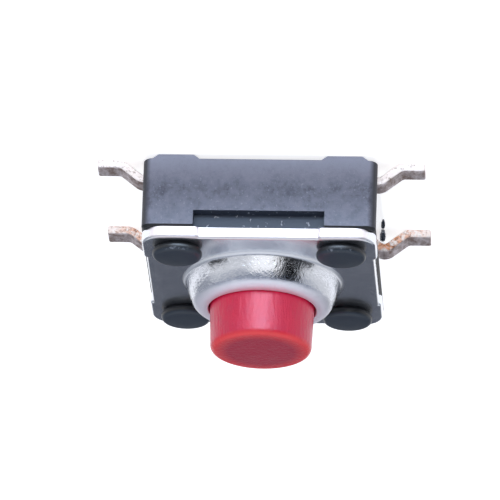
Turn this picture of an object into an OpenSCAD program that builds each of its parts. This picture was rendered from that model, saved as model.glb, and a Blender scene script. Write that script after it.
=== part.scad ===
// Tactile push button switch with four gull-wing feet, for surface mounting.
// A moulded base carries two stamped terminal strips and a snap dome. A drawn steel cover is
// held on it by four riveted stakes, and a plunger works through the cover's collar.
// Sizes are in millimetres. The feet stand on the board at z = 0 and the button points up.
// The two rows of feet lie on the left and right, and the front is the side of lower y.

/* [Base] */
// Width of the base between the two rows of feet
body_x = 6.0; // [5.8:0.1:7]
// Depth of the base along a row of feet
body_y = 6.0; // [5.8:0.1:7]
// Height of the base's top face above the board
body_top = 2.0; // [1.9:0.05:2.4]
// Height of the base's underside above the board
standoff = 0.12; // [0.08:0.01:0.2]
// Bevel of the base's four upright corners
corner_bevel = 0.15; // [0.05:0.01:0.25]
// Rounding of the base's lower edges
lower_edge_r = 0.07; // [0.04:0.01:0.12]
// Bevel round the base's top face, the dark line under the cover
upper_bevel = 0.04; // [0.02:0.01:0.08]
// Width of the recess under the cover, front and back
recess_w = 3.36; // [2:0.1:4]
// Height of that recess
recess_h = 0.45; // [0.3:0.05:0.8]
// Depth of that recess into the base
recess_d = 0.35; // [0.2:0.05:0.4]

/* [Standoff pads] */
// Length of a pad's flat, left to right
pad_len = 0.9; // [0.5:0.1:1.2]
// Width of a pad, front to back
pad_w = 1.2; // [0.8:0.1:1.6]
// Distance from the base's end to the pad's flat
pad_inset = 0.39; // [0.25:0.01:0.6]
// Length of the slope at each end of a pad
pad_slope = 0.14; // [0.05:0.01:0.2]
// Air between a pad and the board
pad_air = 0.02; // [0.01:0.01:0.05]

/* [Cover] */
// Thickness of the cover's steel sheet
sheet_t = 0.3; // [0.2:0.05:0.4]
// Radius of the cover's corners
cover_corner_r = 0.58; // [0.3:0.02:0.8]
// Length of the stretch that is set back on each side of the cover
waist_len = 3.06; // [2:0.1:3.6]
// How far that stretch is set back
waist_depth = 0.07; // [0.03:0.01:0.12]
// Length of the slanted step at each end of it
waist_step = 0.05; // [0.02:0.01:0.1]

/* [Collar] */
// Radius of the collar where its flank meets the plate
collar_r = 2.02; // [1.95:0.01:2.08]
// Radius of the collar where its flank meets its roof
collar_roof_r = 1.70; // [1.68:0.01:1.8]
// Height of the collar's roof above the plate
collar_h = 0.80; // [0.6:0.02:1]
// Thickness of the drawn collar
collar_t = 0.2; // [0.15:0.01:0.24]
// Inside radius of the bend at the collar's foot
collar_foot_r = 0.12; // [0.06:0.01:0.18]
// Outside radius of the collar's shoulder
collar_shoulder_r = 0.38; // [0.24:0.01:0.4]
// Height above the plate at which the flank is fullest
belly_h = 0.42; // [0.3:0.01:0.48]
// How far the flank bulges there beyond a straight cone
belly = 0.045; // [0.01:0.005:0.06]
// Radius of the bulge
belly_r = 1.2; // [0.6:0.1:1.4]
// Radius of the opening for the plunger
opening_r = 1.39; // [1.38:0.01:1.46]

/* [Stakes] */
// Distance from a stake's centre to the left or right end of the base
stake_in_x = 0.9; // [0.85:0.01:0.95]
// Distance from a stake's centre to the front or back of the base
stake_in_y = 0.83; // [0.78:0.01:0.9]
// Radius of a stake's shank
stake_r = 0.4; // [0.3:0.01:0.44]
// Clearance round a shank in the cover's hole
stake_play = 0.03; // [0.02:0.01:0.05]
// Radius of a stake's riveted head
head_r = 0.64; // [0.55:0.01:0.68]
// Height of a riveted head at its rim
head_h = 0.26; // [0.18:0.01:0.3]
// Rounding of a head's rim
head_rim_r = 0.16; // [0.08:0.01:0.2]
// Height of a head's crown over its rim
head_crown = 0.01; // [0:0.01:0.06]

/* [Plunger] */
// Height of the button's face above the collar's roof
button_h = 1.15; // [0.6:0.01:3]
// Radius of the button at its face
button_face_r = 1.30; // [1.2:0.01:1.34]
// Gap between the button and the opening at the roof
button_play = 0.05; // [0.03:0.005:0.06]
// Rounding of the button's rim
button_rim_r = 0.09; // [0.04:0.01:0.15]
// Thickness of the flange that stops the plunger under the roof
flange_t = 0.3; // [0.2:0.02:0.36]
// Clearance between the plunger and the cover, under the roof and beside the flange
flange_play = 0.03; // [0.02:0.01:0.06]
// Radius of the shank under the flange
shank_r = 0.85; // [0.75:0.05:0.95]
// Radius of the foot that presses on the seal
foot_r = 0.55; // [0.4:0.05:0.6]

/* [Snap dome] */
// Radius of the snap dome
dome_r = 1.8; // [1.6:0.05:1.9]
// Thickness of the snap dome
dome_t = 0.06; // [0.04:0.01:0.08]
// Travel of the button until the contacts close
travel = 0.25; // [0.2:0.01:0.3]

/* [Seal] */
// Width of the seal's clamped rim
seal_rim_w = 0.4; // [0.3:0.02:0.45]
// Thickness of the seal's clamped rim
seal_rim_t = 0.25; // [0.2:0.01:0.3]
// Thickness of the seal under the plunger
seal_pad_t = 0.2; // [0.15:0.01:0.25]
// Radius of the seal's flat middle
seal_pad_r = 0.7; // [0.65:0.01:0.8]
// Thickness of the seal's sloping web
seal_web_t = 0.14; // [0.1:0.01:0.2]

/* [Terminals] */
// Distance between the two feet of a row
lead_pitch = 4.5; // [4.3:0.05:4.6]
// Width of a foot
lead_w = 0.6; // [0.4:0.05:0.7]
// Thickness of the terminal strip
strip_t = 0.23; // [0.15:0.01:0.25]
// Height of the strip's underside inside the base
lead_rise = 0.4; // [0.35:0.01:0.5]
// Straight length of a lead outside the base, before its bend
lead_root = 0.01; // [0.01:0.01:0.3]
// Angle at which a lead runs down to its foot
lead_slope = 38.5; // [35:0.5:70]
// Inside radius of a lead's two bends
bend_r = 0.1; // [0.05:0.01:0.14]
// Length of the foot that lies on the board
sole_len = 0.54; // [0.35:0.01:0.9]
// Height of the raised contacts above the well's floor
contact_h = 0.09; // [0.06:0.01:0.12]
// Width of the tongue that leads to the centre contact
tongue_w = 0.8; // [0.6:0.05:1]
// Radius of the raised centre contact
contact_r = 0.35; // [0.25:0.01:0.5]
// Width of the ring contact under the dome's rim, to each side of it
ring_reach = 0.35; // [0.3:0.01:0.4]
// Width of the web that joins the ring contact to its strip
web_w = 1.6; // [1:0.1:2.4]

/* [Hidden] */

// Steps in each rounded stretch of an outline
arc_steps = 8;
// Facets of a preview circle
$fn = 96;
// Length that a cutting shape runs past the surface it cuts
cut = 0.5;

// Heights above the board
cover_top = body_top + sheet_t;
roof_top = cover_top + collar_h;
roof_under = roof_top - collar_t;
button_top = roof_top + button_h;
well_floor = lead_rise + strip_t;
ring_top = well_floor + contact_h;
// The centre contact stands a little higher than the ring, and the dome starts a travel above it
contact_lift = 0.02;
contact_top = ring_top + contact_lift;
dome_under = contact_top + travel;
dome_top = dome_under + dome_t;
// Small play between the parts that stack under the button
stack_play = 0.02;
seal_under = dome_top + stack_play;
seal_pad_top = seal_under + seal_pad_t;
foot_z = seal_pad_top + stack_play;
flange_top = roof_under - flange_play;
flange_under = flange_top - flange_t;
seal_seat = body_top - seal_rim_t;

// Radii and places
dome_play = 0.15;
well_r = dome_r + dome_play;
seal_r = well_r + seal_rim_w;
seat_play = 0.03;
stake_x = body_x / 2 - stake_in_x;
stake_y = body_y / 2 - stake_in_y;
flank_lean = (collar_r - collar_roof_r) / collar_h;
// Thickness of the collar's flank, measured level
flank_t = collar_t * norm([1, flank_lean]);
button_roof_r = opening_r - button_play;
button_taper = (button_roof_r - button_face_r) / button_h;

// Inside radius of the collar's shoulder, one wall inside the outer one
inner_shoulder_r = max(collar_shoulder_r - collar_t, flange_play);

// Radius of the collar's outer flank at a height above the board, without its bulge
function outer_flank_r(z) = collar_roof_r + (roof_top - z) * flank_lean;

// Radius of the collar's inner flank at a height above the board
function inner_flank_r(z) = outer_flank_r(z) - flank_t;

// Points of an arc that rounds the corner b between its neighbours a and c
function corner_arc(a, b, c, r, steps) =
    let (
        u = (a - b) / norm(a - b),
        v = (c - b) / norm(c - b),
        half = acos(u * v) / 2,
        centre = b + (u + v) / norm(u + v) * r / sin(half),
        from = b + u * r / tan(half) - centre,
        to = b + v * r / tan(half) - centre,
        start = atan2(from[1], from[0]),
        turn = atan2(from[0] * to[1] - from[1] * to[0], from * to)
    )
    [for (i = [0:steps]) centre + r * [cos(start + turn * i / steps), sin(start + turn * i / steps)]];

// Outline from corners given as [across, up, rounding]
function rounded(corners, steps = arc_steps) =
    let (n = len(corners), at = [for (p = corners) [p[0], p[1]]])
    [for (i = [0:n - 1])
        each corners[i][2] == 0 ? [at[i]]
            : corner_arc(at[(i + n - 1) % n], at[i], at[(i + 1) % n], corners[i][2], steps)];

// Solid of revolution about the button's axis, from the outline on its right
module turned(corners) {
    rotate_extrude() polygon(rounded(corners));
}

// Copies of a child at the four stakes
module at_stakes() {
    for (x = [-stake_x, stake_x], y = [-stake_y, stake_y])
        translate([x, y, 0]) children();
}

// Prism that runs front to back, from an outline in x and z
module prism_y(depth, corners) {
    rotate([90, 0, 0]) linear_extrude(height = depth, center = true) polygon(rounded(corners));
}

// Base

// Outline of one wall of the base, from its rounded lower edges to its bevelled top
function wall_outline(w) = [
    [-w / 2, standoff, lower_edge_r],
    [w / 2, standoff, lower_edge_r],
    [w / 2, body_top - upper_bevel, 0],
    [w / 2 - upper_bevel, body_top, 0],
    [-w / 2 + upper_bevel, body_top, 0],
    [-w / 2, body_top - upper_bevel, 0],
];

// Outline of the base seen from above, with its four corners bevelled
function plan_outline(x, y, b) = [
    [-x / 2 + b, -y / 2], [x / 2 - b, -y / 2], [x / 2, -y / 2 + b], [x / 2, y / 2 - b],
    [x / 2 - b, y / 2], [-x / 2 + b, y / 2], [-x / 2, y / 2 - b], [-x / 2, -y / 2 + b],
];

module base_block() {
    intersection() {
        linear_extrude(height = body_top) polygon(plan_outline(body_x, body_y, corner_bevel));
        prism_y(body_y + cut, wall_outline(body_x));
        rotate([0, 0, 90]) prism_y(body_x + cut, wall_outline(body_y));
    }
}

// Low pad under each corner, flush with the front or back face
module standoff_pads() {
    root = standoff + lower_edge_r;
    for (side = [0, 1], end = [0, 1])
        mirror([side, 0, 0]) mirror([0, end, 0])
            translate([body_x / 2 - pad_inset - pad_len / 2, -body_y / 2 + pad_w / 2, 0])
                prism_y(pad_w, [
                    [-pad_len / 2 - pad_slope, root, 0],
                    [-pad_len / 2 - pad_slope, standoff, 0],
                    [-pad_len / 2, pad_air, 0],
                    [pad_len / 2, pad_air, 0],
                    [pad_len / 2 + pad_slope, standoff, 0],
                    [pad_len / 2 + pad_slope, root, 0],
                ]);
}

// Stake with its riveted head
module stake() {
    rim_round = min(head_rim_r, 0.8 * head_h);
    translate([0, 0, body_top - cut]) cylinder(h = sheet_t + cut, r = stake_r);
    turned([
        [0, cover_top, 0],
        [head_r, cover_top, 0],
        [head_r, cover_top + head_h, rim_round],
        [head_r / 3, cover_top + head_h + head_crown, head_r / 3],
        [0, cover_top + head_h + head_crown, 0],
    ]);
}

// Round well for the dome, with the wider seat of the seal above it
module well() {
    translate([0, 0, well_floor]) cylinder(h = body_top - well_floor + cut, r = well_r);
    translate([0, 0, seal_seat]) cylinder(h = seal_rim_t + cut, r = seal_r + seat_play);
}

// Recess under the cover, on the front and the back
module side_recesses() {
    for (end = [0, 1])
        mirror([0, end, 0])
            translate([-recess_w / 2, -body_y / 2 - cut, body_top - recess_h])
                cube([recess_w, recess_d + cut, recess_h + cut]);
}

module housing() {
    color("#474c59")
        difference() {
            union() {
                difference() {
                    base_block();
                    well();
                    side_recesses();
                }
                standoff_pads();
                at_stakes() stake();
            }
            centre_strip();
            ring_strip();
        }
}

// Cover

// Flat plate with rounded corners, each side set back in its middle
module plate_outline() {
    difference() {
        union() {
            square([body_x - 2 * cover_corner_r, body_y], center = true);
            square([body_x, body_y - 2 * cover_corner_r], center = true);
            for (x = [-1, 1], y = [-1, 1])
                translate([x * (body_x / 2 - cover_corner_r), y * (body_y / 2 - cover_corner_r)])
                    circle(r = cover_corner_r);
        }
        for (side = [0:3])
            rotate(side * 90) translate([0, -(side % 2 == 0 ? body_y : body_x) / 2])
                polygon([
                    [-waist_len / 2 - waist_step, -cut],
                    [-waist_len / 2 - waist_step, 0],
                    [-waist_len / 2, waist_depth],
                    [waist_len / 2, waist_depth],
                    [waist_len / 2 + waist_step, 0],
                    [waist_len / 2 + waist_step, -cut],
                ]);
    }
}

// Outer form of the collar, from the hollow bend at its foot over the bulged flank to its roof
module collar_outside() {
    turned([
        [0, body_top, 0],
        [collar_r + cut, body_top, 0],
        [collar_r + cut, cover_top, 0],
        [collar_r, cover_top, collar_foot_r],
        [outer_flank_r(cover_top + belly_h) + belly, cover_top + belly_h, belly_r],
        [collar_roof_r, roof_top, collar_shoulder_r],
        [0, roof_top, 0],
    ]);
}

// Inner form of the collar, one wall inside the outer form
module collar_inside() {
    mouth_r = collar_foot_r + sheet_t;
    turned([
        [0, body_top - cut, 0],
        [collar_r + cut, body_top - cut, 0],
        [collar_r + cut, body_top, 0],
        [inner_flank_r(body_top), body_top, mouth_r],
        [inner_flank_r(roof_under), roof_under, inner_shoulder_r],
        [0, roof_under, 0],
    ]);
}

module cover() {
    color("#c6cad3")
        difference() {
            union() {
                translate([0, 0, body_top]) linear_extrude(height = sheet_t) plate_outline();
                collar_outside();
            }
            collar_inside();
            translate([0, 0, body_top]) cylinder(h = roof_top, r = opening_r);
            at_stakes() translate([0, 0, body_top - cut])
                cylinder(h = sheet_t + 2 * cut, r = stake_r + stake_play);
        }
}

// Plunger

module plunger() {
    flange_r = inner_flank_r(flange_top) - flange_play;
    // The flange's upper edge follows the inside of the collar's shoulder
    flange_round = inner_shoulder_r - flange_play;
    color("#c8324b")
        turned([
            [0, foot_z, 0],
            [foot_r, foot_z, 0],
            [shank_r, foot_z + (flange_under - foot_z) / 3, 0],
            [shank_r, flange_under, 0],
            [flange_r, flange_under, 0],
            [flange_r, flange_top, flange_round],
            [button_roof_r + button_taper * (roof_top - flange_top), flange_top, 0],
            [button_face_r, button_top, button_rim_r],
            [0, button_top, 0],
        ]);
}

// Seal: a rubber sheet, clamped at its rim, whose middle dips down to the dome
module seal() {
    slope_in_r = seal_pad_r + seal_web_t;
    color("#b9b4a6")
        turned([
            [0, seal_under, 0],
            [slope_in_r, seal_under, seal_web_t],
            [well_r - seal_rim_t, seal_seat, seal_web_t],
            [seal_r, seal_seat, 0],
            [seal_r, body_top, 0],
            [well_r - seal_rim_t - seal_web_t, body_top, seal_web_t],
            [seal_pad_r, seal_pad_top, seal_web_t],
            [0, seal_pad_top, 0],
        ]);
}

// Snap dome: a shallow spherical cap that stands on the ring contact
module contact_dome() {
    rim_r = dome_r - dome_t;
    rise = dome_under - ring_top;
    ball_r = (rim_r * rim_r + rise * rise) / (2 * rise);
    color("#b8bcc4")
        intersection() {
            translate([0, 0, dome_under - ball_r])
                difference() {
                    sphere(r = ball_r + dome_t);
                    sphere(r = ball_r);
                }
            translate([0, 0, ring_top]) cylinder(h = rise + dome_t + cut, r = dome_r);
        }
}

// Terminals

// Strip across the base with a gull-wing foot at each end, from its corners on the right
module gull_strip() {
    bend_x = body_x / 2 + lead_root + bend_r * tan(lead_slope / 2);
    sole_x = bend_x + lead_rise / tan(lead_slope);
    // The upper face turns a little later than the lower one
    lag = strip_t * tan(lead_slope / 2);
    tip_x = sole_x + bend_r * tan(lead_slope / 2) + lag + sole_len;
    right = [
        [bend_x, lead_rise, bend_r],
        [sole_x, 0, bend_r + strip_t],
        [tip_x, 0, 0],
        [tip_x, strip_t, 0],
        [sole_x + lag, strip_t, bend_r],
        [bend_x + lag, lead_rise + strip_t, bend_r + strip_t],
    ];
    left = [for (i = [len(right) - 1:-1:0]) [-right[i][0], right[i][1], right[i][2]]];
    prism_y(lead_w, concat(right, left));
}

// Front strip, whose tongue carries the centre contact
module centre_strip() {
    translate([0, -lead_pitch / 2, 0]) gull_strip();
    translate([-tongue_w / 2, -lead_pitch / 2, lead_rise])
        cube([tongue_w, lead_pitch / 2, strip_t]);
    translate([0, 0, lead_rise]) cylinder(h = strip_t, r = tongue_w / 2);
    translate([0, 0, lead_rise]) cylinder(h = contact_top - lead_rise, r = contact_r);
}

// Rear strip, whose raised ring carries the dome's rim and is open at the front
module ring_strip() {
    gap_y = -tongue_w;
    ring_out = dome_r + ring_reach;
    translate([0, lead_pitch / 2, 0]) gull_strip();
    translate([-web_w / 2, dome_r, lead_rise])
        cube([web_w, lead_pitch / 2 - dome_r, strip_t]);
    intersection() {
        translate([0, 0, ring_top - strip_t])
            difference() {
                cylinder(h = strip_t, r = ring_out);
                translate([0, 0, -cut]) cylinder(h = strip_t + 2 * cut, r = dome_r - ring_reach);
            }
        translate([-ring_out - cut, gap_y, 0]) cube(2 * ring_out + 2 * cut);
    }
}

module terminal_front() {
    color("#cfc7bd") centre_strip();
}

module terminal_rear() {
    color("#cfc7bd") ring_strip();
}

housing();
cover();
plunger();
seal();
contact_dome();
terminal_front();
terminal_rear();
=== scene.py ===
"""Studio scene of a surface-mount tactile push button switch.

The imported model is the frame. A finer piece stands for each of its nodes, with the finish of the
real one: a moulded base, a bright steel cover, a satin red button, plated strips with sheared
edges, a silicone seal and a snap dome. Lengths are given in millimetres and built in metres.
"""

import logging
import math
from dataclasses import dataclass
from enum import Enum, IntEnum

import bmesh
import bpy
from bpy.types import Material, Node, NodeTree, Object
from mathutils import Matrix, Vector, noise


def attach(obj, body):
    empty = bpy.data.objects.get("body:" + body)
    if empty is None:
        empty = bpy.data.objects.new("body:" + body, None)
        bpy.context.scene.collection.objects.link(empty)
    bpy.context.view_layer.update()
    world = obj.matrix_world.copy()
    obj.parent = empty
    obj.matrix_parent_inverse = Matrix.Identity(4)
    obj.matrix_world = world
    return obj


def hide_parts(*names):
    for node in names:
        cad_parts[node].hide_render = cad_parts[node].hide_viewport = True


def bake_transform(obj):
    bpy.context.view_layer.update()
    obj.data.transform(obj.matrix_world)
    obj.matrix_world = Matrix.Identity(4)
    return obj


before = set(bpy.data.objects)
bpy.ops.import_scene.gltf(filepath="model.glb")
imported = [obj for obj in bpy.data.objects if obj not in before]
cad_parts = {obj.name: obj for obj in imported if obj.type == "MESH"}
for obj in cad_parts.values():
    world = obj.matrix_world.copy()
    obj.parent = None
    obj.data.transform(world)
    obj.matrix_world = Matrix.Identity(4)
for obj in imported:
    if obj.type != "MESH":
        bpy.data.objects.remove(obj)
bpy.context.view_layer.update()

LOG = logging.getLogger("switch")
MM = 0.001
SWITCH_BODY = "switch_body"
BUTTON_BODY = "button"
STAKE_X = 2.1
STAKE_Y = 2.17
QUARTERS = [(side, end) for side in (-1, 1) for end in (-1, 1)]
OVERSHOOT = 0.1
WELD = 0.00002
FACETS = 96
METAL = {"Metallic": 1.0}

Point = tuple[float, float, float]
Corner = tuple[float, float, float]
Socket = bpy.types.NodeSocket


class Cut(Enum):
    """What a second solid does to the first."""

    ADD = "UNION"
    REMOVE = "DIFFERENCE"


class Slot(Enum):
    """Material slots of the record."""

    BASE = "moulded_base"
    COVER = "stainless_cover"
    BUTTON = "red_button"
    SEAL = "silicone_seal"
    DOME = "spring_steel"
    TERMINAL = "plated_terminal"


class BaseSkin(IntEnum):
    """Finishes of the base, in the order of its materials."""

    MOULDED = 0
    RIVETED_AND_SHADED = 1
    POLISHED = 2
    RECESS = 3


class CoverSkin(IntEnum):
    """Finishes of the cover, in the order of its materials."""

    ROLLED = 0
    DRAWN = 1


class StripSkin(IntEnum):
    """Finishes of a terminal strip, in the order of its materials."""

    PLATED = 0
    SHEARED = 1


def linear(hex_colour: str) -> tuple[float, float, float, float]:
    """Turns an sRGB colour into linear RGBA.

    Args:
        hex_colour: The colour as a hash and six hexadecimal digits.

    Returns:
        Linear red, green, blue and an alpha of 1.
    """
    shares = [int(hex_colour[i:i + 2], 16) / 255 for i in (1, 3, 5)]
    values = [s / 12.92 if s <= 0.04045 else ((s + 0.055) / 1.055) ** 2.4 for s in shares]
    return (*values, 1.0)


def add_node(tree: NodeTree, kind: str, inputs: dict | None = None, **settings) -> Node:
    """Adds one shader node.

    Args:
        tree: The node tree that gets it.
        kind: The node's type name without its ShaderNode prefix.
        inputs: Values or output sockets, by the input's name or number.
        **settings: Properties of the node itself.

    Returns:
        The new node.
    """
    node = tree.nodes.new("ShaderNode" + kind)
    for name, value in settings.items():
        setattr(node, name, value)
    feed(tree, node, inputs or {})
    return node


def feed(tree: NodeTree, node: Node, inputs: dict) -> None:
    """Sets a node's inputs, or links them.

    Args:
        tree: The node tree.
        node: The node.
        inputs: Values or output sockets, by the input's name or number.
    """
    for key, value in inputs.items():
        if isinstance(value, Socket):
            tree.links.new(value, node.inputs[key])
        else:
            node.inputs[key].default_value = value


class Draft:
    """A solid in the making: a bmesh in the row frame, in metres."""

    def __init__(self) -> None:
        """Starts with nothing in it."""
        self.mesh = bmesh.new()

    def outline(self, corners: list[Corner], closed: bool, steps: int = 8) -> None:
        """Draws an outline in the XZ plane and rounds its corners.

        Args:
            corners: Across, up and rounding radius of each corner, in millimetres.
            closed: Whether the last corner joins the first.
            steps: Number of edges in each rounded corner.
        """
        mesh = self.mesh
        points = [mesh.verts.new((x * MM, 0, z * MM)) for x, z, _ in corners]
        count = len(points)
        for i in range(count if closed else count - 1):
            mesh.edges.new((points[i], points[(i + 1) % count]))
        lengths = []
        for i, (_, _, radius) in enumerate(corners):
            back = (points[i - 1].co - points[i].co).normalized()
            ahead = (points[(i + 1) % count].co - points[i].co).normalized()
            lengths.append(radius * MM / math.tan(back.angle(ahead) / 2) if radius else 0)
        for point, length in zip(points, lengths):
            if length:
                bmesh.ops.bevel(
                    mesh, geom=[point], offset=length, offset_type="OFFSET", affect="VERTICES",
                    segments=steps, profile=0.5, material=-1,
                )

    def spun(self, steps: int) -> "Draft":
        """Spins everything drawn so far once round the button's axis.

        Args:
            steps: Number of facets round the axis.

        Returns:
            This draft.
        """
        bmesh.ops.spin(
            self.mesh, geom=self.mesh.verts[:] + self.mesh.edges[:], cent=(0, 0, 0), axis=(0, 0, 1),
            angle=math.tau, steps=steps, use_merge=True,
        )
        return self

    def turned(self, corners: list[Corner], steps: int = 160, rounding: int = 8) -> "Draft":
        """Spins an open outline about the button's axis into a closed solid.

        Args:
            corners: The outline, from the axis and back to the axis.
            steps: Number of facets round the axis.
            rounding: Number of edges in each rounded corner.

        Returns:
            This draft.
        """
        self.outline(corners, closed=False, steps=rounding)
        return self.spun(steps).tidied()

    def prism(
        self, corners: list[Corner], depth: float, front: float, back: float, steps: int = 8,
        front_steps: int = 4,
    ) -> "Draft":
        """Pushes a closed outline out along Y, centred, with its end faces' borders rounded.

        Args:
            corners: The outline in X and Z.
            depth: Whole length along Y.
            front: Rounding of the border of the end face towards -Y.
            back: Rounding of the border of the end face towards +Y.
            steps: Number of edges in each rounded corner of the outline.
            front_steps: Number of edges in the rounding at the front, where 1 makes a bevel.

        Returns:
            This draft.
        """
        self.outline(corners, closed=True, steps=steps)
        mesh = self.mesh
        first = bmesh.ops.contextual_create(mesh, geom=mesh.edges[:])["faces"][0]
        bmesh.ops.translate(mesh, verts=first.verts[:], vec=(0, (front - depth / 2) * MM, 0))
        grown = bmesh.ops.extrude_face_region(mesh, geom=[first])["geom"]
        last = next(item for item in grown if isinstance(item, bmesh.types.BMFace))
        bmesh.ops.translate(mesh, verts=last.verts[:], vec=(0, (depth - front - back) * MM, 0))
        bmesh.ops.recalc_face_normals(mesh, faces=mesh.faces[:])
        self.eased(first, front, front_steps)
        self.eased(last, back)
        return self.tidied()

    def eased(self, face: bmesh.types.BMFace, radius: float, steps: int = 4) -> None:
        """Rounds the border of an end face by a few insets that rise along a quarter circle.

        Args:
            face: The end face, which moves out by the radius.
            radius: Rounding radius in millimetres.
            steps: Number of insets.
        """
        for i in range(steps):
            start, end = (math.pi / 2 * k / steps for k in (i, i + 1))
            bmesh.ops.inset_region(
                self.mesh, faces=[face], use_even_offset=True,
                thickness=radius * MM * (math.cos(start) - math.cos(end)),
                depth=radius * MM * (math.sin(end) - math.sin(start)),
            )

    def cylinder(self, radius: float, low: float, high: float, at: tuple[float, float] = (0, 0)) -> "Draft":
        """Adds an upright cylinder.

        Args:
            radius: Its radius.
            low: Height of its lower end.
            high: Height of its upper end.
            at: X and Y of its axis.

        Returns:
            This draft.
        """
        place = Matrix.Translation((at[0] * MM, at[1] * MM, (low + high) / 2 * MM))
        bmesh.ops.create_cone(
            self.mesh, cap_ends=True, segments=FACETS, radius1=radius * MM, radius2=radius * MM,
            depth=(high - low) * MM, matrix=place,
        )
        return self

    def box(self, low: Point, high: Point) -> "Draft":
        """Adds a box.

        Args:
            low: Its lowest corner.
            high: Its highest corner.

        Returns:
            This draft.
        """
        size = [(b - a) * MM for a, b in zip(low, high)]
        middle = [(a + b) / 2 * MM for a, b in zip(low, high)]
        place = Matrix.Translation(middle) @ Matrix.Diagonal((*size, 1))
        bmesh.ops.create_cube(self.mesh, size=1, matrix=place)
        return self

    def upright(self) -> "Draft":
        """Turns a solid drawn along Y so that it stands along Z.

        Returns:
            This draft.
        """
        turn = Matrix.Rotation(-math.pi / 2, 3, "X")
        bmesh.ops.rotate(self.mesh, verts=self.mesh.verts[:], cent=(0, 0, 0), matrix=turn)
        self.mesh.normal_update()
        return self

    def moved(self, x: float = 0, y: float = 0, z: float = 0) -> "Draft":
        """Moves the whole solid by some millimetres."""
        bmesh.ops.translate(self.mesh, verts=self.mesh.verts[:], vec=(x * MM, y * MM, z * MM))
        return self

    def skinned(self, skin: IntEnum) -> "Draft":
        """Gives every face one finish.

        Args:
            skin: The finish.

        Returns:
            This draft.
        """
        for face in self.mesh.faces:
            face.material_index = skin
        return self

    def tidied(self) -> "Draft":
        """Merges doubled points and turns every face outwards.

        Returns:
            This draft.
        """
        bmesh.ops.remove_doubles(self.mesh, verts=self.mesh.verts[:], dist=WELD * MM)
        bmesh.ops.recalc_face_normals(self.mesh, faces=self.mesh.faces[:])
        return self

    def placed(self, name: str, materials: list[Material] | None = None) -> Object:
        """Turns the draft into an object at the origin.

        Args:
            name: The object's name.
            materials: Its materials, in the order of the faces' indices.

        Returns:
            The object.
        """
        data = bpy.data.meshes.new(name)
        self.mesh.to_mesh(data)
        self.mesh.free()
        for material in materials or []:
            data.materials.append(material)
        piece = bpy.data.objects.new(name, data)
        bpy.context.scene.collection.objects.link(piece)
        return piece


def combined(piece: Object, tools: list[tuple[Cut, Object]]) -> Object:
    """Adds solids to a piece or cuts them out of it, and keeps the result in its mesh.

    Args:
        piece: The solid that is changed.
        tools: What each further solid does, and the solid, which is deleted afterwards.

    Returns:
        The piece.
    """
    for cut, tool in tools:
        step = piece.modifiers.new(tool.name, "BOOLEAN")
        step.operation = cut.value
        step.object = tool
        step.solver = "EXACT"
        step.material_mode = "INDEX"
    graph = bpy.context.evaluated_depsgraph_get()
    result = bpy.data.meshes.new_from_object(piece.evaluated_get(graph))
    piece.modifiers.clear()
    piece.data = result
    for _, tool in tools:
        bpy.data.objects.remove(tool)
    return piece


def smoothed(piece: Object, sharp_deg: float = 32) -> Object:
    """Shades a piece smooth, but for its sharp edges, and keeps its flat faces flat.

    Args:
        piece: The piece.
        sharp_deg: Angle between two faces over which their edge stays sharp.

    Returns:
        The piece.
    """
    mesh = bmesh.new()
    mesh.from_mesh(piece.data)
    for face in mesh.faces:
        face.smooth = True
    for edge in mesh.edges:
        edge.smooth = edge.is_manifold and edge.calc_face_angle(math.pi) < math.radians(sharp_deg)
    mesh.to_mesh(piece.data)
    mesh.free()
    weighted = piece.modifiers.new("flat_faces", "WEIGHTED_NORMAL")
    weighted.keep_sharp = True
    return piece


class Along(Enum):
    """Lengths that a ramp can run along."""

    ACROSS = "from the middle to the left or right"
    DEPTH = "from the middle to the front or back"
    BACK = "from front to back"
    UP = "from the board up"
    RADIUS = "from the button's axis"
    HEAD_RADIUS = "from the axis of the nearest riveted head"
    HEAD_OUT = "from that axis, away from the middle, to the front or back"


@dataclass(frozen=True)
class Grain:
    """A noise: the size of a feature in millimetres, and the noise levels that give 0 and 1."""

    size: float
    low: float = 0.3
    high: float = 0.7
    detail: float = 2
    stretch: Point = (1, 1, 1)


@dataclass(frozen=True)
class Ramp:
    """A share that runs along a length, from low at its start to high at its end, in millimetres."""

    along: Along
    start: float
    end: float
    low: float = 0
    high: float = 1


@dataclass(frozen=True)
class Layer:
    """A colour or roughness over those before it, as far as all its shares and its cover go."""

    tone: "str | float | Stack"
    shares: tuple[Grain | Ramp, ...]
    cover: float = 1


Stack = tuple[str | float | Layer, ...]


@dataclass(frozen=True)
class Relief:
    """A pattern pressed into the surface: how deep in millimetres, and how strongly."""

    pattern: Grain
    depth: float
    strength: float | Ramp


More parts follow.
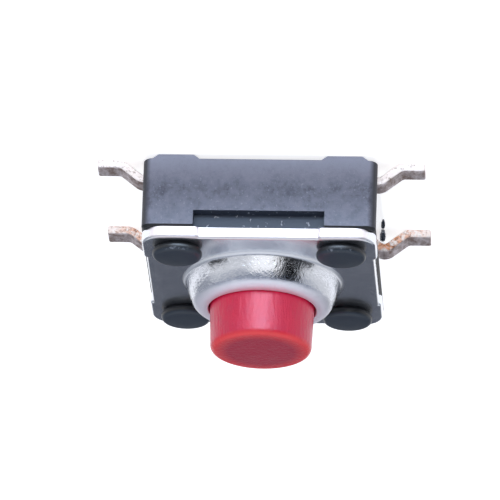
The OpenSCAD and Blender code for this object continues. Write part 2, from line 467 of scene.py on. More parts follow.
class Shader:
    """The node tree of a finish in the making."""

    def __init__(self, tree: NodeTree) -> None:
        """Starts with the place on the piece.

        Args:
            tree: The material's node tree.
        """
        self.tree = tree
        self.place = add_node(tree, "TexCoord").outputs["Object"]
        self.shares: dict[Grain | Ramp, Socket] = {}

    def length(self, along: Along) -> Socket:
        """Measures where a place lies.

        Args:
            along: The length that is measured.

        Returns:
            The socket with it, in metres.
        """
        tree, place = self.tree, self.place
        if along not in (Along.BACK, Along.UP):
            place = add_node(tree, "VectorMath", {0: place}, operation="ABSOLUTE").outputs[0]
        if along in (Along.HEAD_RADIUS, Along.HEAD_OUT):
            head = {0: place, 1: (STAKE_X * MM, STAKE_Y * MM, 0)}
            place = add_node(tree, "VectorMath", head, operation="SUBTRACT").outputs[0]
        if along in (Along.RADIUS, Along.HEAD_RADIUS):
            level = add_node(tree, "VectorMath", {0: place, 1: (1, 1, 0)}, operation="MULTIPLY").outputs[0]
            return add_node(tree, "VectorMath", {0: level}, operation="LENGTH").outputs["Value"]
        axis = {Along.ACROSS: "X", Along.UP: "Z"}.get(along, "Y")
        return add_node(tree, "SeparateXYZ", {0: place}).outputs[axis]

    def share(self, part: Grain | Ramp | float) -> Socket | float:
        """Makes a pattern or a ramp, unless it is there already.

        Args:
            part: The pattern, the ramp, or a plain number.

        Returns:
            Its socket, or the number.
        """
        if not isinstance(part, (Grain, Ramp)):
            return part
        if part in self.shares:
            return self.shares[part]
        if isinstance(part, Grain):
            place = add_node(self.tree, "Mapping", {"Vector": self.place, "Scale": part.stretch}).outputs[0]
            scale = 1 / (part.size * MM)
            noise_inputs = {"Vector": place, "Scale": scale, "Detail": part.detail, "Roughness": 0.6}
            value = add_node(self.tree, "TexNoise", noise_inputs).outputs[0]
            limits = {"From Min": part.low, "From Max": part.high}
        else:
            value = self.length(part.along)
            limits = {
                "From Min": part.start * MM, "From Max": part.end * MM,
                "To Min": part.low, "To Max": part.high,
            }
        mapped = add_node(self.tree, "MapRange", {"Value": value, **limits}, clamp=True)
        self.shares[part] = mapped.outputs["Result"]
        return self.shares[part]

    def stacked(self, ground: str | float, *layers: Layer) -> Socket | tuple | float:
        """Lays colours or roughnesses over each other.

        Args:
            ground: The lowest one, a colour as hex or a roughness.
            *layers: Those over it.

        Returns:
            The socket with the result, or the ground's own value.
        """
        kind, below, above, out = ("RGBA", 6, 7, 2) if isinstance(ground, str) else ("FLOAT", 2, 3, 0)
        total = linear(ground) if isinstance(ground, str) else ground
        for layer in layers:
            share, *others = layer.shares if layer.cover == 1 else (*layer.shares, layer.cover)
            share = self.share(share)
            for other in others:
                both = {0: share, 1: self.share(other)}
                share = add_node(self.tree, "Math", both, operation="MULTIPLY").outputs[0]
            tone = self.stacked(*layer.tone) if isinstance(layer.tone, tuple) else self.stacked(layer.tone)
            inputs = {0: share, below: total, above: tone}
            total = add_node(self.tree, "Mix", inputs, data_type=kind).outputs[out]
        return total


class Finish:
    """A material: stacks of colours and roughnesses, reliefs, and constants of its shader."""

    name: str
    colours: Stack
    roughs: Stack
    reliefs: tuple[Relief, ...] = ()
    constants = {"IOR": 1.5}

    def made(self) -> Material:
        """Builds the material.

        Returns:
            The material.
        """
        material = bpy.data.materials.new(self.name)
        material.use_nodes = True
        tree = material.node_tree
        shader = Shader(tree)
        inputs = {"Base Color": shader.stacked(*self.colours), "Roughness": shader.stacked(*self.roughs)}
        normal = {}
        for relief in self.reliefs:
            height, strength = shader.share(relief.pattern), shader.share(relief.strength)
            pressed = {"Height": height, "Strength": strength, "Distance": relief.depth * MM, **normal}
            normal = {"Normal": add_node(tree, "Bump", pressed).outputs["Normal"]}
        feed(tree, tree.nodes["Principled BSDF"], {**self.constants, **inputs, **normal})
        return material


class MouldedNylon(Finish):
    """Glass-filled nylon off a spark-eroded tool: matt and mottled, paler towards the board and the cover
    with painted light, and darker at its left and right corners with painted shade.
    """

    name = "moulded_nylon"
    pale, bright = "#76798b", "#a8adc2"
    mottle = Grain(0.32, 0.36, 0.67, detail=6)
    specks = Grain(0.08, 0.36, 0.68, detail=3)
    flecks = Grain(0.07, 0.62, 0.73)
    # Painted light: the faces pale towards the board and, less, towards the cover.
    foot = Ramp(Along.UP, 0.95, 0.12)
    upper_painted_light = Ramp(Along.UP, 1.15, 2.1, high=0.36)
    # Painted shade: the faces darken towards the left and right corners.
    corner = Ramp(Along.ACROSS, 2.8, 2.92)
    colours = (
        "#424657",
        Layer(pale, (mottle,)),
        Layer(pale, (specks,), cover=0.55),
        Layer(bright, (foot,), cover=0.85),
        Layer(bright, (upper_painted_light,), cover=0.85),
        Layer("#9399ab", (flecks,)),
        Layer("#2b2d36", (corner,)),
    )
    roughs = (0.46, Layer(0.58, (mottle,)))
    reliefs = (Relief(Grain(0.04, detail=3), depth=0.005, strength=0.5),)


class PolishedNylon(Finish):
    """The same nylon off polished steel: darker, and smooth enough to mirror the floor at a low angle."""

    name = "polished_nylon"
    scuffs = Grain(0.1, 0.69, 0.76, detail=3)
    cloud = Grain(0.4, 0.35, 0.65)
    colours = ("#2b303c", Layer("#a4a9b4", (scuffs,)))
    roughs = (0.06, Layer(0.1, (cloud,)))
    constants = {"IOR": 1.5, "Coat Weight": 0.6, "Coat Roughness": 0.04}


class RecessNylonPaintedShade(Finish):
    """The same nylon inside the recess: matt, darkened with painted shade under the cover, and with a few
    short scuffs that show light.
    """

    name = "recess_nylon_painted_shade"
    scuffs = Grain(0.1, 0.64, 0.68, detail=3, stretch=(1, 1, 0.7))
    # Painted shade: the ground is darker than the moulded faces'.
    colours = ("#303847", Layer("#a4a9b4", (scuffs,)))
    roughs = (0.5,)


class RivetedNylonPaintedShade(Finish):
    """The same nylon where a hot tool formed it: dark, with painted shade that blackens all but the heads'
    tops, and a painted highlight in broken marks along each head's outer rim.
    """

    name = "riveted_nylon_painted_shade"
    # Painted shade: below the heads' tops the colour is near black.
    above = Ramp(Along.UP, 2.46, 2.52)
    # Painted highlight: a pale broken arc along each head's rim, on its side away from the middle.
    rim = Ramp(Along.HEAD_RADIUS, 0.575, 0.595)
    outer = Ramp(Along.HEAD_OUT, 0.5, 0.58)
    marks = Grain(0.08, 0.5, 0.64, detail=3)
    colours = ("#0e1116", Layer("#27323f", (above,)), Layer("#8d94a2", (rim, marks, above, outer)))
    roughs = (0.4,)
    reliefs = (Relief(Grain(0.06, detail=3), depth=0.004, strength=0.2),)


class RolledStainless(Finish):
    """Bright rolled stainless sheet: a soft mirror, with fine rolling lines along X and a duller border,
    which is tinted faintly pink as a painted reflection of the red button.
    """

    name = "rolled_stainless"
    cloud = Grain(0.5, 0.35, 0.65, detail=3)
    border = Ramp(Along.DEPTH, 2.84, 2.93)
    # Painted reflection: the border's faint pink tint stands for the red button mirrored in it.
    colours = ("#e4e6ea", Layer("#e8e0e3", (border,)))
    roughs = (0.18, Layer(0.24, (cloud,)), Layer(0.42, (border,)))
    # Real rolling lines are a few microns apart and would not show, so these are drawn coarser.
    reliefs = (Relief(Grain(0.02, stretch=(0.06, 1, 1)), depth=0.001, strength=0.03),)
    constants = METAL


class DrawnStainless(Finish):
    """Stainless steel after deep drawing: satin and pitted on the collar, more matt round its opening, where
    its paler, bluish colour is a painted highlight.
    """

    name = "drawn_stainless"
    patches = Grain(0.13, 0.35, 0.65, detail=4)
    # At its foot the collar still looks like the rolled sheet, and it changes on the way up.
    foot = Ramp(Along.UP, 2.3, 2.312)
    drawn = Ramp(Along.UP, 2.3, 2.42)
    # Painted highlight: round the opening the colour is paler and bluish; the added roughness there is the
    # metal's own.
    crown = Ramp(Along.UP, 2.88, 3.08)
    strength = Ramp(Along.UP, 2.3, 2.42, low=0.02, high=0.55)
    satin = (0.12, Layer(0.2, (patches,)))
    colours = ("#e4e6ea", Layer("#d6d8de", (drawn,)), Layer("#f4f2fa", (crown,)))
    roughs = (0.21, Layer(0.4, (foot,)), Layer(satin, (drawn,)), Layer(0.62, (crown,)))
    reliefs = (
        Relief(patches, depth=0.007, strength=strength),
        Relief(Grain(0.045), depth=0.003, strength=strength),
    )
    constants = METAL


class SatinRed(Finish):
    """Red polyester, moulded satin: lines drawn up its side catch light; its top face is darkened with
    painted shade, and a paler, warmer band of painted light runs round its rim.
    """

    name = "satin_red"
    cloud = Grain(0.4, 0.35, 0.65, detail=4)
    lines = Grain(0.09, detail=3, stretch=(1, 1, 0.2))
    creases = Grain(0.05, detail=3)
    # Painted shade and light: the top face is darker, and paler and warmer in a band towards its rim.
    rim = Ramp(Along.RADIUS, 0.85, 1.22)
    top = Ramp(Along.UP, 4.1, 4.2)
    face = ("#bc1c40", Layer("#fa444a", (rim,)))
    colours = ("#dc0b48", Layer("#e41347", (cloud,)), Layer(face, (top,)))
    roughs = (0.34, Layer(0.42, (cloud,)))
    reliefs = (Relief(lines, depth=0.014, strength=0.8), Relief(creases, depth=0.006, strength=0.5))
    constants = {"IOR": 1.5, "Specular IOR Level": 0.38, "Coat Weight": 0.3, "Coat Roughness": 0.24}


class PlatedStrip(Finish):
    """Silver plate on copper alloy strip: a soft, slightly tarnished grey metal."""

    name = "plated_strip"
    cloud = Grain(0.16, 0.36, 0.62, detail=6, stretch=(1, 0.6, 1))
    colours = ("#e8dedf", Layer("#a39089", (cloud,)))
    roughs = (0.5, Layer(0.65, (cloud,)))
    reliefs = (Relief(cloud, depth=0.004, strength=0.35),)
    constants = METAL


class ShearedEdge(Finish):
    """Strip edge left by the punch: bright plate smeared over it, and bare copper near the base."""

    name = "sheared_edge"
    patches = Grain(0.09, 0.38, 0.58, detail=5)
    stains = Grain(0.07, 0.57, 0.68, detail=3)
    streaks = Grain(0.06, 0.47, 0.6, detail=3)
    near = Ramp(Along.ACROSS, 4.3, 3.1)
    rear = Ramp(Along.BACK, -2.6, 1.8, low=0.04)
    colours = (
        "#f0eae9",
        Layer("#8d8079", (stains,), cover=0.8),
        Layer("#de9460", (patches, near, rear)),
        Layer("#4e2c2c", (patches, near, rear, streaks)),
    )
    roughs = (0.38,)
    reliefs = (Relief(Grain(0.04, detail=3), depth=0.008, strength=0.4),)
    constants = METAL


class Silicone(Finish):
    """Pale silicone rubber: soft, matt and a little milky."""

    name = "silicone"
    cloud = Grain(0.5, 0.35, 0.65)
    colours = ("#b9b4a6", Layer("#c9c5b9", (cloud,)))
    roughs = (0.6,)
    constants = {"IOR": 1.41}


@dataclass
class Part:
    """What every piece has: its finishes, in the order of its faces' material indices."""

    finishes: list[Material]


@dataclass
class Base(Part):
    """The moulded base, with its well, recesses, standoff pads and riveted stakes."""

    width: float = 6.0
    depth: float = 6.0
    low: float = 0.12
    top: float = 2.0
    bevel: float = 0.15
    bevel_ease: float = 0.22
    lower_ease: float = 0.05
    upper_bevel: float = 0.06
    recess_width: float = 3.36
    recess_depth: float = 0.35
    recess_height: float = 0.45
    recess_over: float = 0.3
    well_radius: float = 1.95
    well_floor: float = 0.628
    seat_radius: float = 2.38
    seat_height: float = 1.75
    pad_middle: float = 2.16
    pad_flat: float = 0.9
    pad_slope: float = 0.14
    pad_width: float = 1.2
    pad_low: float = 0.02
    pad_root: float = 0.2
    pad_ease: float = 0.015
    hair: float = 0.004
    stake_radius: float = 0.4
    stake_root: float = 0.4
    head_radius: float = 0.64
    head_undercut: float = 0.08
    head_low: float = 2.3
    head_height: float = 0.27
    head_round: float = 0.16
    head_crown: float = 0.01
    polished_over: float = 0.98
    upward_painted_shade: float = 0.3
    gate_waves: float = 3.4
    gate_tear: float = 0.75
    gate_lumps: tuple[tuple[Point, Point], ...] = (
        ((-3.02, 1.0, 0.58), (0.045, 0.05, 0.14)),
        ((-3.01, 1.0, 0.26), (0.035, 0.045, 0.11)),
    )

    def block(self) -> Object:
        """Makes the plain block, with its bevelled corners, upper bevel and eased lower border.

        Returns:
            The block.
        """
        x, y, b, r = self.width / 2, self.depth / 2, self.bevel, self.bevel_ease
        corners = [
            (-x + b, -y, r), (x - b, -y, r), (x, -y + b, r), (x, y - b, r),
            (x - b, y, r), (-x + b, y, r), (-x, y - b, r), (-x, -y + b, r),
        ]
        draft = Draft().prism(
            corners, self.top - self.low, self.upper_bevel, self.lower_ease, steps=6, front_steps=1
        )
        # Faces turned up, the top ledge and the upper bevel, take the near-black riveted finish as painted
        # shadow of the gap under the cover.
        for face in draft.upright().moved(z=(self.top + self.low) / 2).mesh.faces:
            if abs(face.normal.x) > self.polished_over:
                face.material_index = BaseSkin.POLISHED
            elif face.normal.z > self.upward_painted_shade:
                face.material_index = BaseSkin.RIVETED_AND_SHADED
        return draft.placed("base_moulding", self.finishes)

    def pad(self) -> Draft:
        """Draws a standoff pad in the middle.

        Returns:
            The pad.
        """
        root = self.low + self.pad_root
        half = self.pad_flat / 2
        corners = [
            (-half - self.pad_slope, root, 0),
            (-half - self.pad_slope, self.low, 0.02),
            (-half, self.pad_low, 0.04),
            (half, self.pad_low, 0.04),
            (half + self.pad_slope, self.low, 0.02),
            (half + self.pad_slope, root, 0),
        ]
        return Draft().prism(corners, self.pad_width, self.pad_ease, self.pad_ease, steps=3)

    def stake(self) -> Draft:
        """Draws a stake with its riveted head in the middle.

        Returns:
            The stake.
        """
        root = self.top - self.stake_root
        crown = self.head_low + self.head_height
        rim = crown - self.head_crown
        corners = [
            (0, root, 0),
            (self.stake_radius, root, 0),
            (self.stake_radius, self.head_low, 0),
            (self.head_radius - self.head_undercut, self.head_low, 0.01),
            (self.head_radius, rim - self.head_round, 0.03),
            (self.head_radius, rim, self.head_round * 0.8),
            (self.head_radius / 3, crown, 0.2),
            (0, crown, 0),
        ]
        return Draft().turned(corners, steps=FACETS, rounding=6).skinned(BaseSkin.RIVETED_AND_SHADED)

    def gate(self, middle: Point, size: Point) -> Object:
        """Makes one lump of the torn stub that the moulding gate left on the left wall.

        Args:
            middle: Its middle.
            size: Its half width, depth and height.

        Returns:
            The lump.
        """
        draft = Draft()
        bmesh.ops.create_icosphere(draft.mesh, subdivisions=4, radius=1)
        for vert in draft.mesh.verts:
            vert.co *= 1 + self.gate_tear * noise.noise(vert.co * self.gate_waves)
        place = Matrix.Translation(Vector(middle) * MM) @ Matrix.Diagonal((*[s * MM for s in size], 1))
        bmesh.ops.transform(draft.mesh, verts=draft.mesh.verts[:], matrix=place)
        return draft.skinned(BaseSkin.RECESS).tidied().placed("gate")

    def made(self, strips: list[Object]) -> Object:
        """Makes the base.

        Args:
            strips: The terminal strips that are moulded into it.

        Returns:
            The piece.
        """
        block = self.block()
        over = self.top + self.recess_over
        half = self.recess_width / 2
        tools = []
        for end in (-1, 1):
            face = end * self.depth / 2
            front, back = sorted((face + end * self.recess_over, face - end * self.recess_depth))
            cutter = Draft().box((-half, front, self.top - self.recess_height), (half, back, over))
            tools.append((Cut.REMOVE, cutter.skinned(BaseSkin.RECESS).placed("recess")))
        for radius, floor in ((self.well_radius, self.well_floor), (self.seat_radius, self.seat_height)):
            tools.append((Cut.REMOVE, Draft().cylinder(radius, floor, over).placed("well")))
        pad_y = self.depth / 2 - self.hair - self.pad_width / 2
        for side, end in QUARTERS:
            pad = self.pad().moved(x=side * self.pad_middle, y=end * pad_y)
            stake = self.stake().moved(x=side * STAKE_X, y=end * STAKE_Y)
            tools += [(Cut.ADD, pad.placed("pad")), (Cut.ADD, stake.placed("stake"))]
        for middle, size in self.gate_lumps:
            tools.append((Cut.ADD, self.gate(middle, size)))
        for strip in strips:
            copy = bpy.data.objects.new("slot_" + strip.name, strip.data.copy())
            bpy.context.scene.collection.objects.link(copy)
            tools.append((Cut.REMOVE, copy))
        return smoothed(combined(block, tools))


@dataclass
class Cover(Part):
    """The steel cover: a flat plate with waisted sides, and the collar drawn up from it."""

    width: float = 6.0
    depth: float = 6.0
    low: float = 2.0
    sheet: float = 0.3
    corner: float = 0.58
    waist_length: float = 3.06
    waist_depth: float = 0.07
    waist_step: float = 0.05
    waist_outer: float = 0.12
    waist_inner: float = 0.03
    edge_roll: float = 0.08
    edge_ease: float = 0.015
    ring_radius: float = 2.25
    collar_radius: float = 2.02
    roof_radius: float = 1.7
    belly: float = 0.045
    belly_height: float = 0.42
    belly_radius: float = 1.2
    collar_height: float = 0.8
    wall: float = 0.2
    foot_radius: float = 0.12
    shoulder_radius: float = 0.38
    opening: float = 1.39
    opening_ease: float = 0.03
    hole_radius: float = 0.43
    facets: int = 160
    rim_reach: float = 0.01
    seam: float = 0.0005

    def side(self, along: float, out: float) -> list[Corner]:
        """Outline of one side of the plate, from the end of its first corner, with the side at the bottom.

        Args:
            along: Half the length of the side.
            out: Distance of the side from the middle.

        Returns:
            The corners of that side.
        """
        half = self.waist_length / 2
        step = half + self.waist_step
        inner = -out + self.waist_depth
        return [
            (-along, -out, self.corner),
            (-step, -out, self.waist_outer),
            (-half, inner, self.waist_inner),
            (half, inner, self.waist_inner),
            (step, -out, self.waist_outer),
        ]

    def plate(self) -> Object:
        """Makes the flat plate with its stake holes and a round hole for the collar.

        Returns:
            The plate.
        """
        corners: list[Corner] = []
        for turn in range(4):
            along, out = (self.width, self.depth) if turn % 2 == 0 else (self.depth, self.width)
            c, s = round(math.cos(turn * math.pi / 2)), round(math.sin(turn * math.pi / 2))
            corners += [(c * x - s * y, s * x + c * y, r) for x, y, r in self.side(along / 2, out / 2)]
        draft = Draft().prism(corners, self.sheet, self.edge_roll, self.edge_ease, steps=10).upright()
        plate = draft.moved(z=self.low + self.sheet / 2).tidied().placed("steel_cover", self.finishes)
        under, over = self.low - OVERSHOOT, self.low + self.sheet + OVERSHOOT
        tools = []
        for side, end in QUARTERS:
            drill = Draft().cylinder(self.hole_radius, under, over, (side * STAKE_X, end * STAKE_Y))
            tools.append((Cut.REMOVE, drill.placed("drill")))
        rim = [(0, under, 0), (self.ring_radius, under, 0), (self.ring_radius, over, 0), (0, over, 0)]
        tools.append((Cut.REMOVE, Draft().turned(rim, steps=self.facets).placed("disc")))
        return combined(plate, tools)

    def collar(self) -> Draft:
        """Draws the collar's sheet, from the plate's upper face over the roof to its lower face.

        Returns:
            The open shell, which ends on the plate's round hole.
        """
        top = self.low + self.sheet
        roof = top + self.collar_height
        under = roof - self.wall
        lean = (self.collar_radius - self.roof_radius) / self.collar_height
        belly = self.collar_radius - self.belly_height * lean + self.belly
        inner = self.roof_radius - self.wall * math.hypot(1, lean)
        draft = Draft()
        draft.outline([
            (self.ring_radius, top, 0),
            (self.collar_radius, top, self.foot_radius),
            (belly, top + self.belly_height, self.belly_radius),
            (self.roof_radius, roof, self.shoulder_radius),
            (self.opening, roof, self.opening_ease),
            (self.opening, under, self.opening_ease),
            (inner + self.wall * lean, under, self.shoulder_radius - self.wall),
            (inner + (self.collar_height + self.sheet) * lean, self.low, self.foot_radius + self.sheet / 2),
            (self.ring_radius, self.low, 0),
        ], closed=False, steps=10)
        return draft.spun(self.facets).skinned(CoverSkin.DRAWN)

    def made(self) -> Object:
        """Makes the cover: the wall of the plate's round hole goes, and the collar is sewn to its rims.

        Returns:
            The piece.
        """
        plate = self.plate()
        mesh = self.collar().mesh
        mesh.from_mesh(plate.data)
        ring = self.ring_radius * MM
        facet = math.tau / self.facets
        rim = {v for v in mesh.verts if abs(v.co.xy.length - ring) < self.rim_reach * MM}
        walls = [f for f in mesh.faces if abs(f.normal.z) < 0.5 and all(v in rim for v in f.verts)]
        bmesh.ops.delete(mesh, geom=walls, context="FACES")
        for vert in rim:
            angle = round(math.atan2(vert.co.y, vert.co.x) / facet) * facet
            vert.co.xy = ring * math.cos(angle), ring * math.sin(angle)
        bmesh.ops.remove_doubles(mesh, verts=mesh.verts[:], dist=self.seam * MM)
        bmesh.ops.recalc_face_normals(mesh, faces=mesh.faces[:])
        mesh.to_mesh(plate.data)
        mesh.free()
        return smoothed(plate)


@dataclass
class Plunger(Part):
    """The button, turned in one piece with its stop flange, shank and foot."""

    face: float = 4.25
    face_radius: float = 1.3
    rim: float = 0.16
    flange_top: float = 2.87
    flange_low: float = 2.57
    flange_radius: float = 1.545
    flange_round: float = 0.15
    neck_radius: float = 1.348
    shank_radius: float = 0.85
    shank_low: float = 1.71
    foot_radius: float = 0.55
    foot: float = 1.29

    def made(self) -> Object:
        """Makes the button.

        Returns:
            The piece.
        """
        corners = [
            (0, self.foot, 0),
            (self.foot_radius, self.foot, 0.04),
            (self.shank_radius, self.shank_low, 0.1),
            (self.shank_radius, self.flange_low, 0.03),
            (self.flange_radius, self.flange_low, 0.03),
            (self.flange_radius, self.flange_top, self.flange_round),
            (self.neck_radius, self.flange_top, 0.02),
            (self.face_radius, self.face, self.rim),
            (0, self.face, 0),
        ]
        return smoothed(Draft().turned(corners).placed("red_button", self.finishes))


@dataclass
class Seal(Part):
    """The silicone sheet that is clamped under the cover and dips down to the dome."""

    under: float = 1.07
    pad_top: float = 1.27
    pad_radius: float = 0.7
    web: float = 0.14
    seat: float = 1.75
    top: float = 2.0
    rim_inner: float = 1.7
    rim_radius: float = 2.35

    def made(self) -> Object:
        """Makes the seal.

        Returns:
            The piece.
        """
        corners = [
            (0, self.under, 0),
            (self.pad_radius + self.web, self.under, self.web),
            (self.rim_inner, self.seat, self.web),
            (self.rim_radius, self.seat, 0.03),
            (self.rim_radius, self.top, 0.03),
            (self.rim_inner - self.web, self.top, self.web),
            (self.pad_radius, self.pad_top, self.web),
            (0, self.pad_top, 0),
        ]
        piece = smoothed(Draft().turned(corners, steps=FACETS).placed("rubber_seal", self.finishes))
        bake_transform(piece)
        return piece


@dataclass
class SnapDome(Part):
    """The snap dome, a thin spherical cap that stands on the ring contact."""

    radius: float = 1.8
    thickness: float = 0.06
    low: float = 0.72
    under: float = 0.99
    steps: int = 14

    def arc(self, radius: float, ball: float, centre: float) -> list[Corner]:
        """Points of one face of the cap, from the axis to the rim.

        Args:
            radius: Distance of the rim from the axis.
            ball: Radius of the sphere.
            centre: Height of the sphere's centre.

        Returns:
            The points.
        """
        reach = math.asin(radius / ball)
        angles = [reach * i / self.steps for i in range(self.steps + 1)]
        return [(ball * math.sin(a), centre + ball * math.cos(a), 0) for a in angles]

    def made(self) -> Object:
        """Makes the dome.

        Returns:
            The piece.
        """
        rim = self.radius - self.thickness
        rise = self.under - self.low
        ball = (rim * rim + rise * rise) / (2 * rise)
        centre = self.under - ball
        lower = self.arc(rim, ball, centre)
        upper = self.arc(self.radius, ball + self.thickness, centre)
        corners = lower + [(self.radius, self.low, 0)] + upper[::-1]
        piece = smoothed(Draft().turned(corners, steps=FACETS).placed("snap_dome", self.finishes))
        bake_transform(piece)
        return piece


@dataclass
class TerminalStrips(Part):
    """The two stamped strips, each with a gull-wing foot on the left and on the right."""

    half_body: float = 3.0
    pitch: float = 4.5
    width: float = 0.6
    thickness: float = 0.23
    rise: float = 0.4
    root: float = 0.01
    slope_deg: float = 38.5
    bend: float = 0.1
    sole: float = 0.54
    edge_ease: float = 0.04
    tip_round: float = 0.05
    sole_bend: float = 0.16
    ring_top: float = 0.72
    contact_top: float = 0.74
    contact_radius: float = 0.35
    contact_sink: float = 0.02
    tongue: float = 0.8
    ring_inner: float = 1.45
    ring_outer: float = 2.15
    web: float = 1.6
    web_start: float = 1.8
    cut_over: float = 0.8
    tip_over: float = 0.9

    def gull(self, name: str, y: float) -> Object:
        """Makes one strip with its two feet.

        Args:
            name: The piece's name.
            y: Place of the strip along Y.

        Returns:
            The strip.
        """
        slope = math.radians(self.slope_deg)
        turn = math.tan(slope / 2)
        lag = self.thickness * turn
        bend_x = self.half_body + self.root + self.bend * turn
        sole_x = bend_x + self.rise / math.tan(slope)
        tip_x = sole_x + self.bend * turn + lag + self.sole
        right = [
            (bend_x, self.rise, self.bend),
            (sole_x, 0, self.sole_bend + self.thickness),
            (tip_x, 0, self.tip_round),
            (tip_x, self.thickness, self.tip_round),
            (sole_x + lag, self.thickness, self.sole_bend),
            (bend_x + lag, self.rise + self.thickness, self.bend + self.thickness),
        ]
        left = [(-x, z, r) for x, z, r in right[::-1]]
        draft = Draft().prism(right + left, self.width, self.edge_ease, self.edge_ease)
        for face in draft.mesh.faces:
            sheared = abs(face.normal.y) > self.cut_over or abs(face.normal.x) > self.tip_over
            face.material_index = StripSkin.SHEARED if sheared else StripSkin.PLATED
        return draft.moved(y=y).placed(name, self.finishes)

    def front(self) -> Object:
        """Makes the front strip, whose tongue carries the centre contact.

        Returns:
            The piece.
        """
        strip = self.gull("strip_front", -self.pitch / 2)
        top = self.rise + self.thickness
        half = self.tongue / 2
        tongue = Draft().box((-half, -self.pitch / 2, self.rise), (half, 0, top))
        pad = Draft().cylinder(half, self.rise, top)
        contact = Draft().cylinder(self.contact_radius, self.rise + self.contact_sink, self.contact_top)
        tools = [(Cut.ADD, part.placed("part")) for part in (tongue, pad, contact)]
        return smoothed(combined(strip, tools))

    def rear(self) -> Object:
        """Makes the rear strip, whose ring carries the dome's rim and is open at the front.

        Returns:
            The piece.
        """
        strip = self.gull("strip_rear", self.pitch / 2)
        low = self.ring_top - self.thickness
        reach = self.half_body
        ring = Draft().cylinder(self.ring_outer, low, self.ring_top).placed("ring")
        hole = Draft().cylinder(self.ring_inner, low - OVERSHOOT, self.ring_top + OVERSHOOT).placed("hole")
        gap = Draft().box((-reach, -reach, 0), (reach, -self.tongue, 1)).placed("gap")
        combined(ring, [(Cut.REMOVE, hole), (Cut.REMOVE, gap)])
        half, top = self.web / 2, self.rise + self.thickness
        web = Draft().box((-half, self.web_start, self.rise), (half, self.pitch / 2, top)).placed("web")
        return smoothed(combined(strip, [(Cut.ADD, web), (Cut.ADD, ring)]))


@dataclass(frozen=True)
class Card:
    """A glowing sheet that the metal mirrors: its direction in degrees, its size, tone and glow."""

    name: str
    azimuth: float
    elevation: float
    size: tuple[float, float]
    tone: str
    level: float = 1


@dataclass(frozen=True)
class Lamp:
    """A soft lamp: its direction in degrees, its distance, its size and its power."""

    name: str
    azimuth: float
    elevation: float
    away: float
    size: tuple[float, float]
    watts: float
    mirrored: bool


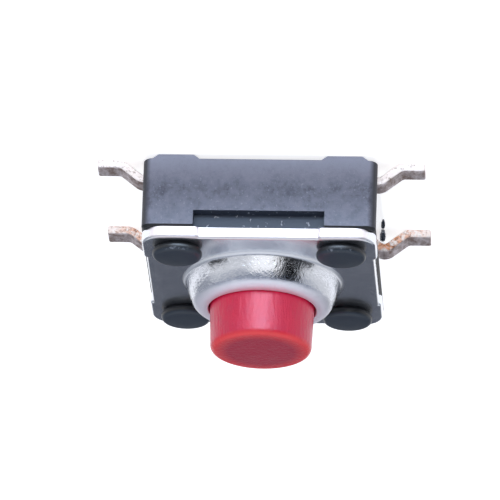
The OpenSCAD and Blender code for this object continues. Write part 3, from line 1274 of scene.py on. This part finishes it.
@dataclass
class Studio:
    """Camera, floor, lamps and the cards that the metal mirrors."""

    target: Point = (0, 0, 2.0)
    distance: float = 284.255
    azimuth_deg: float = -3.431
    elevation_deg: float = 22.009
    roll_deg: float = 181.986
    frame_px: float = 500
    pixels_per_mm: float = 38.824
    target_px: tuple[float, float] = (263.491, 270.840)
    sensor: float = 36
    floor_size: float = 4000
    floor_tone: str = "#e8e8ea"
    floor_glow: float = 0.75
    gleam_near: float = 7
    gleam_height: float = 0.4
    sky_low: float = 0.2
    sky_high: float = 0.62
    side_tone: str = "#f0f2f6"
    roof_tone: str = "#8d96a8"
    card_away: float = 260
    gleam_card: Card = Card("floor_gleam", 0, 0, (10, 24), "#cfe4fc", 15)
    lamps: tuple[Lamp, ...] = (
        Lamp("front_softbox", -6, 12, 600, (440, 250), 4.6, mirrored=False),
        Lamp("top_softbox", -4, 84, 400, (640, 380), 0.5, mirrored=True),
    )
    cards: tuple[Card, ...] = (
        Card("front_card", -5, 15, (190, 105), "#ffffff", 1.35),
        Card("back_card", 180, 22, (420, 120), "#5c606b"),
        Card("high_card", 180, 62, (500, 150), "#e4e7ec"),
        Card("left_card", 120, 20, (320, 160), "#a4a9b4"),
        Card("side_card", -45, 22, (168, 180), "#060709"),
        Card("low_card", -44, 2, (180, 20), "#101216"),
    )

    @staticmethod
    def towards(azimuth: float, elevation: float) -> Vector:
        """Unit vector from the switch towards a place in the studio, by two angles in degrees."""
        a, e = math.radians(azimuth), math.radians(elevation)
        return Vector((math.sin(a) * math.cos(e), -math.cos(a) * math.cos(e), math.sin(e)))

    def camera(self) -> None:
        """Sets the camera at the photograph's angle, with the button towards the bottom."""
        back = self.towards(self.azimuth_deg, self.elevation_deg)
        a, r = math.radians(self.azimuth_deg), math.radians(self.roll_deg)
        level = Vector((math.cos(a), math.sin(a), 0))
        right = level * math.cos(r) + back.cross(level) * math.sin(r)
        up = back.cross(right)
        across = (self.frame_px / 2 - self.target_px[0]) / self.pixels_per_mm
        down = (self.target_px[1] - self.frame_px / 2) / self.pixels_per_mm
        place = Vector(self.target) + back * self.distance + right * across + up * down
        data = bpy.data.cameras.new("camera")
        data.sensor_width = self.sensor
        data.lens = self.pixels_per_mm * self.distance / self.frame_px * self.sensor
        data.clip_start = 1 * MM
        data.clip_end = 100
        camera = bpy.data.objects.new("camera", data)
        camera.matrix_world = Matrix.Translation(place * MM) @ Matrix((right, up, back)).transposed().to_4x4()
        bpy.context.scene.collection.objects.link(camera)
        bpy.context.scene.camera = camera

    def floor(self) -> None:
        """Lays the pale floor, which shows white and keeps the object's shadow."""
        draft = Draft()
        bmesh.ops.create_grid(draft.mesh, x_segments=1, y_segments=1, size=self.floor_size / 2 * MM)
        material, tree = self.bare("pale_floor")
        paper = add_node(tree, "BsdfDiffuse", {"Color": linear(self.floor_tone)})
        glow = add_node(tree, "Emission", {"Color": (1, 1, 1, 1), "Strength": self.floor_glow})
        rays = add_node(tree, "LightPath").outputs
        seen = rays["Is Camera Ray"]
        for ray in ("Is Glossy Ray", "Is Transmission Ray"):
            seen = add_node(tree, "Math", {0: seen, 1: rays[ray]}, operation="MAXIMUM").outputs[0]
        none = add_node(tree, "Emission", {"Strength": 0})
        lift = add_node(tree, "MixShader", {0: seen, 1: none.outputs[0], 2: glow.outputs[0]})
        both = add_node(tree, "AddShader", {0: paper.outputs[0], 1: lift.outputs[0]})
        feed(tree, tree.nodes["Material Output"], {"Surface": both.outputs[0]})
        draft.placed("floor", [material])

    @staticmethod
    def bare(name: str) -> tuple[Material, NodeTree]:
        """Starts a material with nothing but its output.

        Args:
            name: The material's name.

        Returns:
            The material and its node tree.
        """
        material = bpy.data.materials.new(name)
        material.use_nodes = True
        tree = material.node_tree
        tree.nodes.remove(tree.nodes["Principled BSDF"])
        return material, tree

    def hung(self, item: Card | Lamp, away: float) -> Matrix:
        """Finds where a card or lamp hangs, facing the switch.

        Args:
            item: The card or lamp.
            away: Its distance.

        Returns:
            Its place and turn.
        """
        towards = self.towards(item.azimuth, item.elevation)
        turn = towards.to_track_quat("Z", "Y").to_matrix().to_4x4()
        return Matrix.Translation((Vector(self.target) + towards * away) * MM) @ turn

    def sheet(self, card: Card, place: Matrix) -> Object:
        """Makes a glowing sheet that the camera doesn't see.

        Args:
            card: Its name, size, tone and glow.
            place: Its place and turn.

        Returns:
            The sheet.
        """
        draft = Draft()
        bmesh.ops.create_grid(draft.mesh, x_segments=1, y_segments=1, size=0.5)
        spread = Matrix.Diagonal((card.size[0] * MM, card.size[1] * MM, 1, 1))
        bmesh.ops.transform(draft.mesh, verts=draft.mesh.verts[:], matrix=place @ spread)
        material, tree = self.bare(card.name)
        glow = add_node(tree, "Emission", {"Color": linear(card.tone), "Strength": card.level})
        feed(tree, tree.nodes["Material Output"], {"Surface": glow.outputs[0]})
        sheet = draft.placed(card.name, [material])
        sheet.visible_camera = False
        return sheet

    def gleam(self) -> None:
        """Lays a bright sheet before the switch, just over the floor, that only glossy surfaces see."""
        middle = -self.gleam_near - self.gleam_card.size[1] / 2
        sheet = self.sheet(self.gleam_card, Matrix.Translation((0, middle * MM, self.gleam_height * MM)))
        sheet.visible_diffuse = False
        sheet.visible_shadow = False

    def lamp(self, lamp: Lamp) -> None:
        """Hangs a soft lamp that faces the switch.

        Args:
            lamp: Its direction, size and power.
        """
        data = bpy.data.lights.new(lamp.name, "AREA")
        data.shape = "RECTANGLE"
        data.size, data.size_y = lamp.size[0] * MM, lamp.size[1] * MM
        data.energy = lamp.watts
        light = bpy.data.objects.new(lamp.name, data)
        light.matrix_world = self.hung(lamp, lamp.away)
        light.visible_glossy = lamp.mirrored
        bpy.context.scene.collection.objects.link(light)

    def sky(self) -> None:
        """Lights the studio, bright round about and dim overhead, and shows white behind the switch."""
        world = bpy.data.worlds.new("studio")
        world.use_nodes = True
        tree = world.node_tree
        tree.nodes.remove(tree.nodes["Background"])
        generated = add_node(tree, "TexCoord").outputs["Generated"]
        height = add_node(tree, "SeparateXYZ", {0: generated}).outputs["Z"]
        limits = {"Value": height, "From Min": self.sky_low, "From Max": self.sky_high}
        share = add_node(tree, "MapRange", limits, clamp=True).outputs["Result"]
        tones = {0: share, 6: linear(self.side_tone), 7: linear(self.roof_tone)}
        colour = add_node(tree, "Mix", tones, data_type="RGBA")
        fill = add_node(tree, "Background", {"Color": colour.outputs[2], "Strength": 1.0})
        white = add_node(tree, "Background", {"Color": (1, 1, 1, 1), "Strength": 1.0})
        seen = add_node(tree, "LightPath").outputs["Is Camera Ray"]
        mix = add_node(tree, "MixShader", {0: seen, 1: fill.outputs[0], 2: white.outputs[0]})
        feed(tree, tree.nodes["World Output"], {"Surface": mix.outputs[0]})
        bpy.context.scene.world = world

    def made(self) -> None:
        """Sets up the whole studio."""
        self.camera()
        self.floor()
        self.sky()
        self.gleam()
        for lamp in self.lamps:
            self.lamp(lamp)
        for card in self.cards:
            self.sheet(card, self.hung(card, self.card_away))
        bpy.context.scene.view_settings.view_transform = "Standard"


def settled(piece: Object, body: str, slot: Slot, *nodes: str) -> None:
    """Tells the frame what a finished piece rides on and stands for.

    Args:
        piece: The piece.
        body: The body that it moves with, or nothing for a piece that bends between two, which is then
            attached to none.
        slot: The record's material slot; not used.
        *nodes: The CAD nodes that it stands for.
    """
    if body:
        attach(piece, body)
    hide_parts(*nodes)
    LOG.info("%s: %d faces", piece.name, len(piece.data.polygons))


def main() -> None:
    """Builds the studio and every piece of the switch, in order."""
    logging.basicConfig(level=logging.INFO, format="%(name)s: %(message)s")
    Studio().made()
    strips = TerminalStrips([PlatedStrip().made(), ShearedEdge().made()])
    front, rear = strips.front(), strips.rear()
    nylon = [MouldedNylon().made(), RivetedNylonPaintedShade().made(), PolishedNylon().made(), RecessNylonPaintedShade().made()]
    base = Base(nylon).made([front, rear])
    steel = [RolledStainless().made(), DrawnStainless().made()]
    settled(base, SWITCH_BODY, Slot.BASE, "housing")
    settled(front, SWITCH_BODY, Slot.TERMINAL, "terminal_front")
    settled(rear, SWITCH_BODY, Slot.TERMINAL, "terminal_rear")
    settled(Cover(steel).made(), SWITCH_BODY, Slot.COVER, "cover")
    settled(Plunger([SatinRed().made()]).made(), BUTTON_BODY, Slot.BUTTON, "plunger")
    settled(Seal([Silicone().made()]).made(), "", Slot.SEAL, "seal")
    settled(SnapDome([steel[CoverSkin.ROLLED]]).made(), "", Slot.DOME, "contact_dome")


if __name__ == "__main__":
    main()
